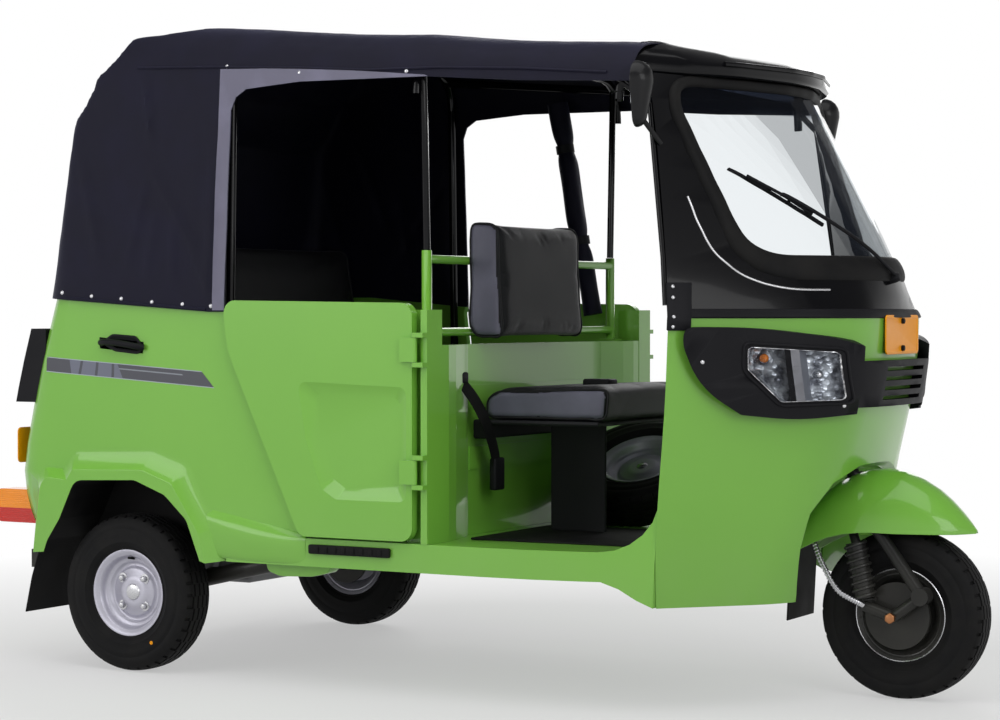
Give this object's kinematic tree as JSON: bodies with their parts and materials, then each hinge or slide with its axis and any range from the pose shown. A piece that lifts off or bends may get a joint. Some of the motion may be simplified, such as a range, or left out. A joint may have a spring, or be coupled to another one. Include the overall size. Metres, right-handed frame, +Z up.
{
  "type": "auto rickshaw",
  "caption": "Three-wheeled passenger auto rickshaw with a steered front wheel, fabric canopy, low side doors, hollow cabin and rear engine lid.",
  "frame": {"origin": "middle of the vehicle's length and width, on the ground", "axes": "+X forward, +Y to the vehicle's left, +Z up"},
  "size_m": [2.6476, 1.33, 1.74],
  "materials": {
    "body_green": "glossy apple-green enamel",
    "black_paint": "black enamel",
    "gloss_black": "gloss black",
    "trim_black": "textured black plastic",
    "rubber_black": "matte rubber",
    "tyre": "matte rubber",
    "rim_silver": "silver paint",
    "rim_black": "satin black paint",
    "canopy_vinyl": "coated cloth with a slight sheen",
    "surround_vinyl": "pale grey coated cloth",
    "seat_vinyl": "grained black vinyl",
    "clear_glass": "clear safety glass",
    "lamp_clear": "clear lens",
    "lamp_amber": "amber lens",
    "plate_yellow": "blank yellow plate",
    "engine_grey": "bare casting",
    "box_grey": "dark grey paint"
  },
  "bodies": {
    "body": {"chassis_frame": "black_paint", "floor_pan": "body_green", "partition": "body_green", "quarter_right": "body_green", "quarter_left": "body_green", "tail_panel": "body_green", "tail_vents": "trim_black", "rear_bumper": "black_paint", "tail_lamps": "lamp_amber", "number_plates": "plate_yellow", "rear_mudflaps": "rubber_black", "rear_suspension": "black_paint", "engine_block": "engine_grey", "passenger_seat": "seat_vinyl", "driver_seat": "seat_vinyl", "seat_stand": "box_grey", "seat_frame": "body_green", "canopy_bows": "black_paint", "canopy": "canopy_vinyl", "side_surrounds": "surround_vinyl", "curtain_roll": "canopy_vinyl", "cowl_lower": "body_green", "cowl_upper": "gloss_black", "windscreen": "clear_glass", "visor": "gloss_black", "lamp_band": "trim_black", "headlamps": "lamp_clear", "wiper": "trim_black", "mirrors": "trim_black", "dashboard": "trim_black", "spare_wheel": "tyre", "step_pads": "rubber_black", "quarter_grips": "trim_black"},
    "steering": {"steering_column": "black_paint", "front_fork": "black_paint", "front_fender": "body_green", "front_mudflap": "rubber_black", "brake_cable": "rubber_black"},
    "front_wheel": {"front_rim": "rim_black", "front_tyre": "tyre"},
    "rear_wheel_right": {"rear_rim_right": "rim_silver", "rear_tyre_right": "tyre"},
    "rear_wheel_left": {"rear_rim_left": "rim_silver", "rear_tyre_left": "tyre"},
    "door_right": {"door_right": "body_green"},
    "door_left": {"door_left": "body_green"},
    "tail_lid": {"tail_lid": "body_green"}
  },
  "joints": [
    {"name": "steering_turn", "type": "hinge", "parent": "body", "child": "steering", "pos_m": [1.13125, 0, 0.2125], "axis": [-0.4226, 0, 0.9063], "range_deg": [-42, 42]},
    {"name": "front_wheel_spin", "type": "hinge", "parent": "steering", "child": "front_wheel", "pos_m": [1.11125, 0, 0.2125], "axis": [0, 1, 0], "continuous": true},
    {"name": "rear_wheel_right_spin", "type": "hinge", "parent": "body", "child": "rear_wheel_right", "pos_m": [-0.87375, -0.554, 0.2125], "axis": [0, 1, 0], "continuous": true},
    {"name": "rear_wheel_left_spin", "type": "hinge", "parent": "body", "child": "rear_wheel_left", "pos_m": [-0.87375, 0.554, 0.2125], "axis": [0, 1, 0], "continuous": true},
    {"name": "door_right_swing", "type": "hinge", "parent": "body", "child": "door_right", "pos_m": [0.06325, -0.653, 0.6], "axis": [0, 0, 1], "range_deg": [0, 75]},
    {"name": "door_left_swing", "type": "hinge", "parent": "body", "child": "door_left", "pos_m": [0.06325, 0.653, 0.6], "axis": [0, 0, -1], "range_deg": [0, 75]},
    {"name": "tail_lid_lift", "type": "hinge", "parent": "body", "child": "tail_lid", "pos_m": [-1.17575, 0, 0.965], "axis": [0, 1, 0], "range_deg": [0, 75]}
  ]
}
